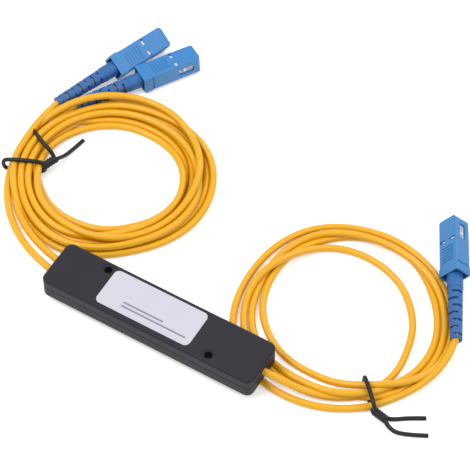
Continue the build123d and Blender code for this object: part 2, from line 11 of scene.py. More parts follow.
import bpy
import numpy as np
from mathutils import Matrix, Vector

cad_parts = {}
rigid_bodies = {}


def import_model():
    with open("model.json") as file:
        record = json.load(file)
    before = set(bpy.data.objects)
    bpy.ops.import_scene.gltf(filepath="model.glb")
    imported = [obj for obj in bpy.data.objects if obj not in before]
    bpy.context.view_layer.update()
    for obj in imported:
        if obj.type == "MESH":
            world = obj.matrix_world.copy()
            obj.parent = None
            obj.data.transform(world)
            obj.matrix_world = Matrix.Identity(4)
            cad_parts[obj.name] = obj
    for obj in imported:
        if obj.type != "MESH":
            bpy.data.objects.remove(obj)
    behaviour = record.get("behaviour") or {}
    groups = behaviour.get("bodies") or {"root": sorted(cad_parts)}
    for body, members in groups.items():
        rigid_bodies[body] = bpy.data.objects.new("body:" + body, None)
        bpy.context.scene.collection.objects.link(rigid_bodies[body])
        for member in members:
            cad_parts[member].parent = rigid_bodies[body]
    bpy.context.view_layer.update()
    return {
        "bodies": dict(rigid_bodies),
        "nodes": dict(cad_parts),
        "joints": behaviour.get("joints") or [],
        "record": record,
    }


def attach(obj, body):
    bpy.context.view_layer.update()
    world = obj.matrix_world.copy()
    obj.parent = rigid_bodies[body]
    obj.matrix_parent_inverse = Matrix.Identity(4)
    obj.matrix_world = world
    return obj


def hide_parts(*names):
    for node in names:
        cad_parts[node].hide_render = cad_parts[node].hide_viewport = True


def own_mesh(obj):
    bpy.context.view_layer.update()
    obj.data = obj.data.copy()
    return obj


log = logging.getLogger("coupler_scene")

MM = 0.001
SURFACE_Z = -7.55
CORD_DIAMETER = 2.8
FLOOR_STRAND_Z = SURFACE_Z + CORD_DIAMETER / 2
NOISE_MEAN = 0.5
Point = tuple[float, float, float]


class Wind(Enum):
    """Which way a coil is wound, seen from above."""

    ANTICLOCKWISE = 1
    CLOCKWISE = -1


class Body(Enum):
    """The frame's body that most pieces ride on."""

    ROOT = "coupler_and_cords"


def math_node(
    tree: bpy.types.NodeTree, operation: str, *values: bpy.types.NodeSocket | float,
    clamp: bool = False,
) -> bpy.types.NodeSocket:
    """Add a math node.

    Args:
        tree: The tree that gets the node.
        operation: What the node does.
        values: What goes into each input, another node's output or a number.
        clamp: Whether the result is kept between 0 and 1.

    Returns:
        The node's output.
    """
    node = tree.nodes.new("ShaderNodeMath")
    node.operation = operation
    node.use_clamp = clamp
    for socket, value in zip(node.inputs, values):
        if isinstance(value, bpy.types.NodeSocket):
            tree.links.new(value, socket)
        else:
            socket.default_value = value
    return node.outputs[0]


@dataclass(frozen=True)
class Moulded:
    """A moulded or drawn finish: one colour with slight cloudiness and a fine surface grain."""

    name: str
    colour: tuple[float, float, float]
    roughness: float = 0.4
    metallic: float = 0.0
    cloud: float = 0.06
    cloud_scale: float = 90.0
    grain: float = 0.05
    grain_scale: float = 1800.0
    coat: float = 0.0
    specular: float = 0.5
    coat_roughness: float = 0.2
    roughness_spread: float = 0.10
    bump_depth: float = 0.0002

    def build(self, effects: Effects) -> bpy.types.Material:
        """Build the material.

        Args:
            effects: The shared effect groups.

        Returns:
            The finished material.
        """
        material, shader, coords = effects.start(self.name)
        tree = material.node_tree
        shader.inputs["Metallic"].default_value = self.metallic
        shader.inputs["Coat Weight"].default_value = self.coat
        shader.inputs["Coat Roughness"].default_value = self.coat_roughness
        shader.inputs["Specular IOR Level"].default_value = self.specular
        cloud = effects.place(
            tree, effects.cloud, coords, {"Scale": self.cloud_scale, "Amount": self.cloud}
        )
        cloud.inputs["Colour"].default_value = (*self.colour, 1.0)
        tree.links.new(cloud.outputs["Colour"], shader.inputs["Base Color"])
        grain = effects.place(
            tree, effects.grain, coords,
            {"Scale": self.grain_scale, "Roughness": self.roughness, "Spread": self.roughness_spread},
        )
        tree.links.new(grain.outputs["Roughness"], shader.inputs["Roughness"])
        bump = tree.nodes.new("ShaderNodeBump")
        bump.inputs["Strength"].default_value = self.grain
        bump.inputs["Distance"].default_value = self.bump_depth
        tree.links.new(grain.outputs["Height"], bump.inputs["Height"])
        tree.links.new(bump.outputs["Normal"], shader.inputs["Normal"])
        return material


@dataclass(frozen=True)
class Printed:
    """A smooth film with a few plain grey bars, as fields of colour."""

    name: str
    colour: tuple[float, float, float]
    ink: tuple[float, float, float]
    bars: tuple[tuple[float, float, float, float], ...]
    roughness: float = 0.42
    cloud: float = 0.04
    cloud_scale: float = 160.0

    def build(self, effects: Effects) -> bpy.types.Material:
        """Build the material.

        Args:
            effects: The shared effect groups.

        Returns:
            The finished material.
        """
        material, shader, coords = effects.start(self.name)
        tree = material.node_tree
        shader.inputs["Roughness"].default_value = self.roughness
        split = tree.nodes.new("ShaderNodeSeparateXYZ")
        tree.links.new(coords.outputs["Object"], split.inputs["Vector"])
        mask: bpy.types.NodeSocket | None = None
        for x0, x1, y0, y1 in self.bars:
            bar = effects.place(tree, effects.bar, None, {
                "Left": x0 * MM, "Right": x1 * MM, "Low": y0 * MM, "High": y1 * MM,
            })
            tree.links.new(split.outputs["X"], bar.inputs["X"])
            tree.links.new(split.outputs["Y"], bar.inputs["Y"])
            here = bar.outputs["Mask"]
            mask = here if mask is None else math_node(tree, "MAXIMUM", mask, here)
        blend = tree.nodes.new("ShaderNodeMix")
        blend.data_type = "RGBA"
        blend.inputs["A"].default_value = (*self.colour, 1.0)
        blend.inputs["B"].default_value = (*self.ink, 1.0)
        if mask is not None:
            tree.links.new(mask, blend.inputs["Factor"])
        cloud = effects.place(
            tree, effects.cloud, coords, {"Scale": self.cloud_scale, "Amount": self.cloud}
        )
        tree.links.new(blend.outputs["Result"], cloud.inputs["Colour"])
        tree.links.new(cloud.outputs["Colour"], shader.inputs["Base Color"])
        return material


class Effects:
    """Shader node groups that several finishes share."""

    def __init__(self) -> None:
        """Build the groups once."""
        self.cloud = self._cloud_group()
        self.grain = self._grain_group()
        self.bar = self._bar_group()

    @staticmethod
    def _group(name: str, inputs: list[tuple[str, str, float]], outputs: list[tuple[str, str]]) -> tuple:
        """Make an empty group with its sockets.

        Args:
            name: The group's name.
            inputs: Name, socket type and default of each input.
            outputs: Name and socket type of each output.

        Returns:
            The tree, its input node and its output node.
        """
        tree = bpy.data.node_groups.new(name, "ShaderNodeTree")
        for label, kind, value in inputs:
            socket = tree.interface.new_socket(label, in_out="INPUT", socket_type=kind)
            if kind == "NodeSocketFloat":
                socket.default_value = value
        for label, kind in outputs:
            tree.interface.new_socket(label, in_out="OUTPUT", socket_type=kind)
        return tree, tree.nodes.new("NodeGroupInput"), tree.nodes.new("NodeGroupOutput")

    def _cloud_group(self) -> bpy.types.NodeTree:
        """Slight light and dark clouds over a colour.

        Returns:
            The group.
        """
        tree, enter, leave = self._group(
            "slight_clouds",
            [("Vector", "NodeSocketVector", 0.0), ("Colour", "NodeSocketColor", 0.0),
             ("Scale", "NodeSocketFloat", 90.0), ("Amount", "NodeSocketFloat", 0.06)],
            [("Colour", "NodeSocketColor")],
        )
        noise = tree.nodes.new("ShaderNodeTexNoise")
        noise.inputs["Detail"].default_value = 3.0
        tree.links.new(enter.outputs["Vector"], noise.inputs["Vector"])
        tree.links.new(enter.outputs["Scale"], noise.inputs["Scale"])
        centred = math_node(tree, "SUBTRACT", noise.outputs["Fac"], NOISE_MEAN)
        scaled = math_node(tree, "MULTIPLY_ADD", centred, enter.outputs["Amount"], 1.0)
        shade = tree.nodes.new("ShaderNodeHueSaturation")
        tree.links.new(enter.outputs["Colour"], shade.inputs["Color"])
        tree.links.new(scaled, shade.inputs["Value"])
        tree.links.new(shade.outputs["Color"], leave.inputs["Colour"])
        return tree

    def _grain_group(self) -> bpy.types.NodeTree:
        """A fine grain as a height and as a spread of roughness.

        Returns:
            The group.
        """
        tree, enter, leave = self._group(
            "fine_grain",
            [("Vector", "NodeSocketVector", 0.0), ("Scale", "NodeSocketFloat", 1800.0),
             ("Roughness", "NodeSocketFloat", 0.4), ("Spread", "NodeSocketFloat", 0.1)],
            [("Height", "NodeSocketFloat"), ("Roughness", "NodeSocketFloat")],
        )
        noise = tree.nodes.new("ShaderNodeTexNoise")
        noise.inputs["Detail"].default_value = 4.0
        tree.links.new(enter.outputs["Vector"], noise.inputs["Vector"])
        tree.links.new(enter.outputs["Scale"], noise.inputs["Scale"])
        tree.links.new(noise.outputs["Fac"], leave.inputs["Height"])
        centred = math_node(tree, "SUBTRACT", noise.outputs["Fac"], NOISE_MEAN)
        total = math_node(
            tree, "MULTIPLY_ADD", centred, enter.outputs["Spread"], enter.outputs["Roughness"]
        )
        tree.links.new(total, leave.inputs["Roughness"])
        return tree

    def _bar_group(self) -> bpy.types.NodeTree:
        """A mask that is 1 inside a rectangle.

        Returns:
            The group.
        """
        tree, enter, leave = self._group(
            "plain_bar",
            [(name, "NodeSocketFloat", 0.0) for name in ("X", "Y", "Left", "Right", "Low", "High")],
            [("Mask", "NodeSocketFloat")],
        )
        tests = [
            math_node(tree, operation, enter.outputs[value], enter.outputs[limit])
            for value, limit, operation in (
                ("X", "Left", "GREATER_THAN"), ("X", "Right", "LESS_THAN"),
                ("Y", "Low", "GREATER_THAN"), ("Y", "High", "LESS_THAN"),
            )
        ]
        product = tests[0]
        for other in tests[1:]:
            product = math_node(tree, "MULTIPLY", product, other)
        tree.links.new(product, leave.inputs["Mask"])
        return tree

    @staticmethod
    def start(name: str) -> tuple:
        """Make a material with a principled shader and object coordinates.

        Args:
            name: The material's name.

        Returns:
            The material, its shader node and its coordinate node.
        """
        material = bpy.data.materials.new(name)
        material.use_nodes = True
        tree = material.node_tree
        shader = next(n for n in tree.nodes if n.type == "BSDF_PRINCIPLED")
        return material, shader, tree.nodes.new("ShaderNodeTexCoord")

    @staticmethod
    def place(
        tree: bpy.types.NodeTree, group: bpy.types.NodeTree, coords: bpy.types.Node | None,
        values: dict[str, float],
    ) -> bpy.types.Node:
        """Put a group into a material with its own values.

        Args:
            tree: The material's tree.
            group: The group to place.
            coords: The coordinate node for the group's Vector, if it has one.
            values: Values of the group's inputs.

        Returns:
            The group node.
        """
        node = tree.nodes.new("ShaderNodeGroup")
        node.node_tree = group
        for name, value in values.items():
            node.inputs[name].default_value = value
        if coords is not None:
            tree.links.new(coords.outputs["Object"], node.inputs["Vector"])
        return node


class Palette:
    """Every finish of the part, by material slot."""

    def __init__(self, effects: Effects) -> None:
        """Build all materials.

        Args:
            effects: The shared effect groups.
        """
        finishes = [
            Moulded("cord_jacket", (0.735, 0.365, 0.001), 0.38, cloud=0.05, grain=0.04, coat=0.03),
            Moulded(
                "shell_plastic", (0.016, 0.015, 0.0215), 0.5,
                cloud=0.2, grain=0.12, grain_scale=2600.0, specular=0.22,
            ),
            Moulded("sleeve_plastic", (0.026, 0.19, 0.475), 0.33, cloud=0.06, grain=0.04, coat=0.1),
            Moulded("boot_rubber", (0.016, 0.11, 0.33), 0.5, cloud=0.08, grain=0.06),
            Moulded("frame_plastic", (0.80, 0.82, 0.86), 0.35, cloud=0.03),
            Moulded("zirconia", (0.88, 0.88, 0.84), 0.16, cloud=0.02, grain=0.01, coat=0.3),
            Moulded("nickel_brass", (0.62, 0.60, 0.56), 0.28, metallic=1.0),
            Moulded("steel", (0.62, 0.62, 0.64), 0.3, metallic=1.0),
            Moulded("spring_steel", (0.55, 0.55, 0.57), 0.25, metallic=1.0),
            Moulded("crimp_metal", (0.60, 0.60, 0.62), 0.35, metallic=1.0),
            Moulded("quartz", (0.80, 0.85, 0.88), 0.1, cloud=0.02, coat=0.3),
            Moulded("glass_fibre", (0.75, 0.82, 0.88), 0.1, cloud=0.02),
            Moulded("epoxy", (0.30, 0.20, 0.09), 0.2, cloud=0.2, coat=0.3),
            Moulded("buffer_nylon", (0.85, 0.85, 0.82), 0.45),
            Moulded("tie_plastic", (0.006, 0.0055, 0.0065), 0.42, cloud=0.2, grain=0.08, specular=0.3),
        ]
        self.materials = {finish.name: finish.build(effects) for finish in finishes}
        label = Printed(
            "label_film", (0.525, 0.51, 0.585), (0.20, 0.19, 0.24),
            ((-13.0, 14.5, -4.9, -4.2), (-13.0, 4.0, -3.2, -2.5)),
        )
        self.materials["label_film"] = label.build(effects)

    def dress(self, piece: bpy.types.Object, slot: str) -> None:
        """Give a piece its finish, on every material slot that it has.

        Args:
            piece: The object to dress.
            slot: The finish's name.
        """
        piece.data.materials.clear()
        piece.data.materials.append(self.materials[slot])
        if piece.type == "MESH":
            for polygon in piece.data.polygons:
                polygon.material_index = 0


@dataclass(frozen=True)
class PlugPlace:
    """Where a plug lies: its sleeve's rear end in millimetres, and its heading in degrees."""

    x: float
    y: float
    z: float
    heading: float

    def along(self, x: float) -> np.ndarray:
        """The point at a distance along the plug's axis.

        Args:
            x: The distance from the sleeve's rear end, in millimetres.

        Returns:
            The point in millimetres.
        """
        turn = math.radians(self.heading)
        return np.array([self.x + x * math.cos(turn), self.y + x * math.sin(turn), self.z])


# Distances below are in millimetres from the sleeve's rear end, along the plug's axis.
PLUGS = {
    "input": PlugPlace(84.57, 73.28, -1.749, 118.5),
    "output_a": PlugPlace(-79.1, 93.7, -2.177, 70.0),
    "output_b": PlugPlace(-67.43, 94.8, -3.228, 58.0),
}
PLUG_PIECES = (
    "boot", "crimp_ring", "rear_body", "spring", "plug_frame", "ferrule", "ferrule_flange",
    "grip_sleeve",
)
BOOT_TAIL = -28.0
BOOT_STATIONS = (BOOT_TAIL, -18.0, -6.0)
BOOT_ROOM_START = BOOT_TAIL - 1.0
BOOT_ROOM_END = 20.0
BOOT_ROOM_STATIONS = (0.0, 22.0, 29.0, 30.0)
BOOT_ROOM_RADII = (2.35, 3.05, 3.15, 4.0)
SPRING_REAR = 6.9
SPRING_FRONT = 12.4
# How a cord's points are spaced, and which stretches at its two ends stay as drawn.
EASE_SPACING = 3.0
EASE_PORT = 6.0
EASE_BOOT = 23.0
EASE_REACH = 18.0
EASE_PASSES = 22


@dataclass
class Strand:
    """One cord's run through a coil: how far it goes round, and its radius and layer on the way."""

    name: str
    start: float
    turns: list[float]
    layers: list[float]
    end: float
    radius: np.ndarray = field(default_factory=lambda: np.zeros(0))
    angle: np.ndarray = field(default_factory=lambda: np.zeros(0))
    height: np.ndarray = field(default_factory=lambda: np.zeros(0))


@dataclass
class CoilBed:
    """A coil laid on the surface: its strands are pushed off each other as they settle.

    The last smoothing and crowded spots can leave some strands closer than a diameter.
    """

    centre: tuple[float, float]
    wind: Wind
    strands: list[Strand]
    first_station: float
    plugs: list[str]
    under_module: bool = False
    top_limits: list[tuple[float, float]] = field(default_factory=list)
    steps_per_turn: int = 72
    table_step: float = 45.0
    table_passes: int = 4
    layer_height: float = 2.4
    lean: tuple[float, float] = (-0.364, 0.613)
    rounds: int = 900
    loose_share: float = 0.6
    loose_pull: float = 0.10
    firm_pull: float = 0.05
    sink: float = 0.03
    sideways_stiffness: float = 0.25
    upright_stiffness: float = 0.30
    contact_passes: int = 3
    contact_push: float = 0.35
    boot_push: float = 0.6
    free_end_points: int = 9
    last_passes: int = 4
    box_half_length: float = 45.5
    box_half_width: float = 10.5
    tie_reach: float = 4.0

    def lay(self) -> dict[str, list[Point]]:
        """Settle the strands and read their points.

        Returns:
            The points of each strand in millimetres, by its cord's name.
        """
        self._spread()
        angle = np.concatenate([s.angle for s in self.strands])
        seen = np.concatenate([s.radius for s in self.strands])
        height = np.concatenate([s.height for s in self.strands])
        owner = np.concatenate([np.full(len(s.angle), k) for k, s in enumerate(self.strands)])
        step = 360.0 / self.steps_per_turn
        station = np.round(angle / step).astype(int) % self.steps_per_turn
        radians = np.radians(angle)
        shift = self.lean[0] * np.cos(radians) + self.lean[1] * np.sin(radians)
        pairs_a, pairs_b = self._pairs(station)
        inner = np.arange(1, len(angle) - 1)
        joined = (owner[inner - 1] == owner[inner]) & (owner[inner + 1] == owner[inner])
        inner = inner[joined]
        radius = seen - (height - FLOOR_STRAND_Z) * shift
        near_end = np.zeros(len(angle), bool)
        for k in range(len(self.strands)):
            last = np.flatnonzero(owner == k)[-1]
            near_end[last - self.free_end_points:last + 1] = True
        for number in range(self.rounds):
            pull = self.firm_pull if number > self.rounds * self.loose_share else self.loose_pull
            target = seen - (height - FLOOR_STRAND_Z) * shift
            radius += pull * (target - radius)
            height -= self.sink
            rest = radius - target
            bend_r = rest[inner - 1] + rest[inner + 1] - 2 * rest[inner]
            bend_z = height[inner - 1] + height[inner + 1] - 2 * height[inner]
            radius[inner] += self.sideways_stiffness * bend_r
            height[inner] += self.upright_stiffness * bend_z
            for _ in range(self.contact_passes):
                self._part(radius, height, pairs_a, pairs_b)
                self._clear_plugs(radius, height, radians, near_end)
                height = np.maximum(height, FLOOR_STRAND_Z)
                self._limit(radius, height, radians, angle)
        for _ in range(self.last_passes):
            radius[inner] += (radius[inner - 1] + radius[inner + 1] - 2 * radius[inner]) / 4
            height[inner] += (height[inner - 1] + height[inner + 1] - 2 * height[inner]) / 4
        result = {}
        for k, strand in enumerate(self.strands):
            mine = owner == k
            x = self.centre[0] + radius[mine] * np.cos(radians[mine])
            y = self.centre[1] + radius[mine] * np.sin(radians[mine])
            result[strand.name] = [tuple(map(float, p)) for p in np.stack([x, y, height[mine]], 1)]
        gap = np.hypot(radius[pairs_a] - radius[pairs_b], height[pairs_a] - height[pairs_b])
        top = height.max() + CORD_DIAMETER / 2
        log.info("coil settled: closest strands %.2f mm, top %.2f mm", gap.min(), top)
        return result

    def _spread(self) -> None:
        """Spread each strand's table over evenly turned points."""
        step = 360.0 / self.steps_per_turn
        for strand in self.strands:
            count = int(round((strand.end - strand.start) / step)) + 1
            progress = strand.start + step * np.arange(count)
            marks = self.table_step * np.arange(len(strand.turns))
            seen = np.interp(progress, marks, strand.turns)
            layer = np.interp(progress, marks, strand.layers)
            for _ in range(self.table_passes):
                seen[1:-1] = (seen[:-2] + 2 * seen[1:-1] + seen[2:]) / 4
            strand.radius = seen
            strand.angle = self.first_station + self.wind.value * progress
            strand.height = FLOOR_STRAND_Z + self.layer_height * layer

    def _pairs(self, station: np.ndarray) -> tuple[np.ndarray, np.ndarray]:
        """Every pair of points that share a station.

        Args:
            station: The station of each point.

        Returns:
            The first and the second point of each pair.
        """
        first, second = [], []
        for mark in range(self.steps_per_turn):
            here = np.flatnonzero(station == mark)
            for a in range(len(here)):
                for b in range(a + 1, len(here)):
                    first.append(here[a])
                    second.append(here[b])
        return np.array(first), np.array(second)

    def _part(self, radius: np.ndarray, height: np.ndarray, a: np.ndarray, b: np.ndarray) -> None:
        """Push strands that are closer than a diameter apart, within their station's plane.

        Args:
            radius: Each point's radius, changed in place.
            height: Each point's height, changed in place.
            a: The first point of each pair.
            b: The second point of each pair.
        """
        dr = radius[b] - radius[a]
        dz = height[b] - height[a]
        gap = np.maximum(np.hypot(dr, dz), 1e-6)
        push = np.maximum(CORD_DIAMETER - gap, 0.0) * self.contact_push
        close = push > 0
        ur, uz = dr / gap, dz / gap
        np.add.at(radius, a[close], -(push * ur)[close])
        np.add.at(radius, b[close], (push * ur)[close])
        np.add.at(height, a[close], -(push * uz)[close])
        np.add.at(height, b[close], (push * uz)[close])

    def _clear_plugs(
        self, radius: np.ndarray, height: np.ndarray, radians: np.ndarray, skip: np.ndarray
    ) -> None:
        """Push strands off the boots and sleeves that lie among them.

        Args:
            radius: Each point's radius, changed in place.
            height: Each point's height, changed in place.
            radians: Each point's angle.
            skip: The points that run into a boot and stay.
        """
        x = self.centre[0] + radius * np.cos(radians)
        y = self.centre[1] + radius * np.sin(radians)
        points = np.stack([x, y, height], 1)
        for name in self.plugs:
            tail, front = PLUGS[name].along(BOOT_ROOM_START), PLUGS[name].along(BOOT_ROOM_END)
            axis = front - tail
            share = np.clip(((points - tail) @ axis) / (axis @ axis), 0.0, 1.0)
            nearest = tail + share[:, None] * axis
            away = points - nearest
            gap = np.maximum(np.linalg.norm(away, axis=1), 1e-6)
            along = share * np.linalg.norm(axis)
            room = np.interp(along, BOOT_ROOM_STATIONS, BOOT_ROOM_RADII) + CORD_DIAMETER / 2
            push = np.where(skip, 0.0, np.maximum(room - gap, 0.0)) * self.boot_push
            unit = away / gap[:, None]
            radius += push * (unit[:, 0] * np.cos(radians) + unit[:, 1] * np.sin(radians))
            height += push * unit[:, 2]

    def _limit(
        self, radius: np.ndarray, height: np.ndarray, radians: np.ndarray, angle: np.ndarray
    ) -> None:
        """Keep strands under the module's box and under the ties.

        Args:
            radius: Each point's radius.
            height: Each point's height, changed in place.
            radians: Each point's angle in radians.
            angle: Each point's angle in degrees.
        """
        if self.under_module:
            x = self.centre[0] + radius * np.cos(radians)
            y = self.centre[1] + radius * np.sin(radians)
            below = (np.abs(x) < self.box_half_length) & (np.abs(y) < self.box_half_width)
            height[below] = FLOOR_STRAND_Z
        for place, top in self.top_limits:
            near = np.abs((angle - place + 180.0) % 360.0 - 180.0) < self.tie_reach
            height[near] = np.minimum(height[near], top)


# Each strand's table gives its radius as the camera sees it, in millimetres, at every 45 degrees
# of its way round from the module. The table of layers says how many strands it lies on there.
INPUT_COIL_CENTRE = (57.3, 38.0)
INPUT_TIE_ANGLE = 314.0
OUTPUT_COIL_CENTRE = (-52.2, 50.1)
OUTPUT_TIE_ANGLE = 204.5
INPUT_TURNS = [
    34.8, 33.6, 25.8, 24.9, 28.2, 34.0, 37.2, 37.3,
    33.0, 34.3, 37.5, 37.3, 38.1, 40.2, 34.8, 34.1,
    31.0, 31.4, 34.8, 34.7, 39.5, 37.0, 32.7, 28.4,
    25.9, 28.8, 39.3, 39.6, 40.6, 43.2, 40.0, 41.9,
    39.4, 37.1, 41.1,
]
INPUT_LAYERS = [
    1.5, 0.5, 0.0, 0.0, 0.3, 1.2, 1.2, 0.3,
    0.0, 0.6, 0.5, 0.0, 1.0, 0.0, 0.0, 0.0,
    0.2, 1.2, 0.0, 0.0, 0.0, 0.5, 0.0, 0.0,
    0.0, 1.2, 1.0, 1.0, 0.5, 0.0, 0.0, 0.0,
    0.0, 0.0, 1.0,
]
OUTPUT_A_TURNS = [
    41.0, 37.1, 41.0, 38.9, 35.4, 31.1, 29.0, 27.7,
    29.1, 29.5, 26.0, 25.1, 27.8, 27.9, 26.1, 31.6,
    32.0, 32.3, 32.0, 31.2, 32.5, 34.5, 31.8, 35.3,
    34.8, 35.4, 35.4, 34.8, 38.7, 38.5, 34.4, 38.2,
    37.2, 39.8,
]
OUTPUT_A_LAYERS = [
    0.0, 0.8, 2.0, 2.0, 2.0, 2.0, 1.6, 1.2,
    1.0, 1.0, 1.0, 1.0, 1.0, 1.0, 1.0, 1.0,
    1.0, 1.0, 1.0, 1.0, 1.0, 1.0, 1.0, 1.0,
    1.0, 1.0, 1.0, 1.0, 1.0, 1.0, 1.0, 1.0,
    1.0, 1.4,
]
OUTPUT_B_TURNS = [
    37.8, 38.5, 37.5, 36.7, 37.1, 36.5, 33.1, 36.8,
    35.9, 33.8, 33.7, 33.0, 34.0, 32.8, 30.4, 33.4,
    33.4, 30.9, 30.5, 29.8, 30.9, 29.5, 27.5, 29.6,
    30.5, 35.5, 28.3, 26.8, 29.5, 28.8, 25.5, 25.1,
    28.3, 36.8,
]
OUTPUT_B_LAYERS = [
    0.4, 0.3, 0.2, 0.0, 0.0, 0.0, 0.0, 0.0,
    0.0, 0.0, 0.0, 0.0, 0.0, 0.0, 0.0, 0.0,
    0.0, 0.0, 0.0, 0.0, 0.0, 0.0, 0.0, 0.0,
    0.0, 0.0, 0.0, 0.0, 0.0, 0.0, 0.0, 0.0,
    0.3, 1.0,
]


def ease(points: list[Point], lead: int, coil: int) -> list[Point]:
    """Space a cord's points evenly and round off its lead and its tail.

    Args:
        points: The cord's route in millimetres.
        lead: How many points come before the coil.
        coil: How many points lie in the coil.

    Returns:
        The evenly spaced points.
    """
    spots = np.array(points)
    run = np.concatenate([[0.0], np.cumsum(np.linalg.norm(np.diff(spots, axis=0), axis=1))])
    marks = np.linspace(0.0, run[-1], int(run[-1] / EASE_SPACING) + 1)
    spots = np.stack([np.interp(marks, run, spots[:, k]) for k in range(3)], 1)
    in_lead = (marks > EASE_PORT) & (marks < run[lead] + EASE_REACH)
    in_tail = (marks > run[lead + coil - 1] - EASE_REACH) & (marks < run[-1] - EASE_BOOT)
    weight = (in_lead | in_tail)[1:-1, None] / 4
    for _ in range(EASE_PASSES):
        spots[1:-1] += weight * (spots[:-2] + spots[2:] - 2 * spots[1:-1])
    return [tuple(map(float, spot)) for spot in spots]


@dataclass
class Pigtail:
    """One cord from inside the module, through its coil, into its plug's boot."""

    name: str
    lead: list[Point]
    tail: list[Point]
    plug: str
    nodes: list[str]
    exit: Point
    round_faces: int = 5
    steps_per_point: int = 3

    def build(self, coil: list[Point], palette: Palette) -> bpy.types.Object:
        """Args:
            coil: The settled points of its turns.
            palette: The finishes.

        Returns:
            The cord's object.
        """
        place = PLUGS[self.plug]
        into_boot = [tuple(place.along(x)) for x in BOOT_STATIONS]
        points = ease(self.lead + coil + self.tail + into_boot, len(self.lead), len(coil))
        curve = bpy.data.curves.new(self.name, "CURVE")
        curve.dimensions = "3D"
        curve.bevel_depth = CORD_DIAMETER / 2 * MM
        curve.bevel_resolution = self.round_faces
        curve.use_fill_caps = True
        curve.resolution_u = self.steps_per_point
        spline = curve.splines.new("NURBS")
        spline.points.add(len(points) - 1)
        for slot, (x, y, z) in zip(spline.points, points):
            slot.co = (x * MM, y * MM, z * MM, 1.0)
        spline.order_u = 3
        spline.use_endpoint_u = True
        cord = bpy.data.objects.new(self.name, curve)
        bpy.context.scene.collection.objects.link(cord)
        palette.dress(cord, "cord_jacket")
        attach(cord, Body.ROOT.value)
        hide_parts(*self.nodes)
        log.info("%s: %d points", self.name, len(points))
        return cord


def curve_length(cord: bpy.types.Object) -> float:
    """The length of a cord's centreline.

    Args:
        cord: The curve's object.

    Returns:
        The length in metres.
    """
    data = cord.data.copy()
    data.bevel_depth = 0.0
    scratch = bpy.data.objects.new("length_probe", data)
    mesh = bpy.data.meshes.new_from_object(scratch)
    points = [v.co.copy() for v in mesh.vertices]
    total = sum((b - a).length for a, b in zip(points, points[1:]))
    bpy.data.meshes.remove(mesh)
    bpy.data.objects.remove(scratch)
    bpy.data.curves.remove(data)
    return total


@dataclass
class WireTie:
    """A black tie: a loop of covered wire round the coil, its ends twisted and left free."""

    name: str
    centre: tuple[float, float]
    angle: float
    inner: float
    outer: float
    top: float
    twist: list[Point]
    ends: list[list[Point]]
    wire: float = 1.65
    corner: float = 1.6
    twist_turns: float = 2.6
    twist_steps: int = 24
    twist_share: float = 0.55
    round_faces: int = 3
    steps_per_point: int = 4

    def build(self, palette: Palette) -> bpy.types.Object:
        """Make the loop, the twist and the ends as one curve.

        Args:
            palette: The finishes.

        Returns:
            The tie's object.
        """
        curve = bpy.data.curves.new(self.name, "CURVE")
        curve.dimensions = "3D"
        curve.bevel_depth = self.wire / 2 * MM
        curve.bevel_resolution = self.round_faces
        curve.use_fill_caps = True
        curve.resolution_u = self.steps_per_point
        turn = math.radians(self.angle)
        low = SURFACE_Z + self.wire / 2
        corners = []
        for reach, height in self._section(low):
            corners.append((
                self.centre[0] + reach * math.cos(turn), self.centre[1] + reach * math.sin(turn), height,
            ))
        self._spline(curve, corners, closed=True)
        self._spline(curve, self._twisted(0.0) + self.ends[0], closed=False)
        self._spline(curve, self._twisted(math.pi) + self.ends[1], closed=False)
        tie = bpy.data.objects.new(f"{self.name}_wire", curve)
        bpy.context.scene.collection.objects.link(tie)
        palette.dress(tie, "tie_plastic")
        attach(tie, Body.ROOT.value)
        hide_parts(self.name)
        return tie

    def _section(self, low: float) -> list[tuple[float, float]]:
        """The loop's corner points.

        Args:
            low: The height of its lower run.

        Returns:
            Reach from the coil's centre and height of each point, in millimetres.
        """
        bite = self.corner
        return [
            (self.inner + bite, low), (self.outer - bite, low), (self.outer, low + bite),
            (self.outer, self.top - bite), (self.outer - bite, self.top), (self.inner + bite, self.top),
            (self.inner, self.top - bite), (self.inner, low + bite),
        ]

    def _twisted(self, phase: float) -> list[Point]:
        """One wire of the twist, as points round the twist's line.

        Args:
            phase: Where on the round the wire starts, in radians.

        Returns:
            The points in millimetres.
        """
        start, end = Vector(self.twist[0]), Vector(self.twist[1])
        axis = (end - start).normalized()
        side = axis.cross(Vector((0, 0, 1))).normalized()
        up = side.cross(axis)
        points = []
        reach = self.wire * self.twist_share
        for index in range(self.twist_steps + 1):
            share = index / self.twist_steps
            turn = phase + 2 * math.pi * self.twist_turns * share
            spot = start.lerp(end, share) + (side * math.cos(turn) + up * math.sin(turn)) * reach
            points.append(tuple(spot))
        return points

    @staticmethod
    def _spline(curve: bpy.types.Curve, points: list[Point], closed: bool) -> None:
        """Add one spline to the tie's curve.

        Args:
            curve: The tie's curve.
            points: The spline's points in millimetres.
            closed: Whether the spline joins up with itself.
        """
        spline = curve.splines.new("NURBS")
        spline.points.add(len(points) - 1)
        for slot, (x, y, z) in zip(spline.points, points):
            slot.co = (x * MM, y * MM, z * MM, 1.0)
        spline.order_u = 3
        if closed:
            spline.use_cyclic_u = True
        else:
            spline.use_endpoint_u = True


@dataclass(frozen=True)
class Lamp:
    """One square lamp: its place and size in metres and its power in watts."""

    name: str
    place: Point
    size: float
    power: float

    def build(self, target: Vector) -> None:
        """Hang the lamp, pointed at the part.

        Args:
            target: What it points at, in metres.
        """
        light = bpy.data.lights.new(self.name, "AREA")
        light.energy = self.power
        light.size = self.size
        holder = bpy.data.objects.new(self.name, light)
        holder.location = self.place
        holder.rotation_euler = (target - Vector(self.place)).to_track_quat("-Z", "Y").to_euler()
        bpy.context.scene.collection.objects.link(holder)


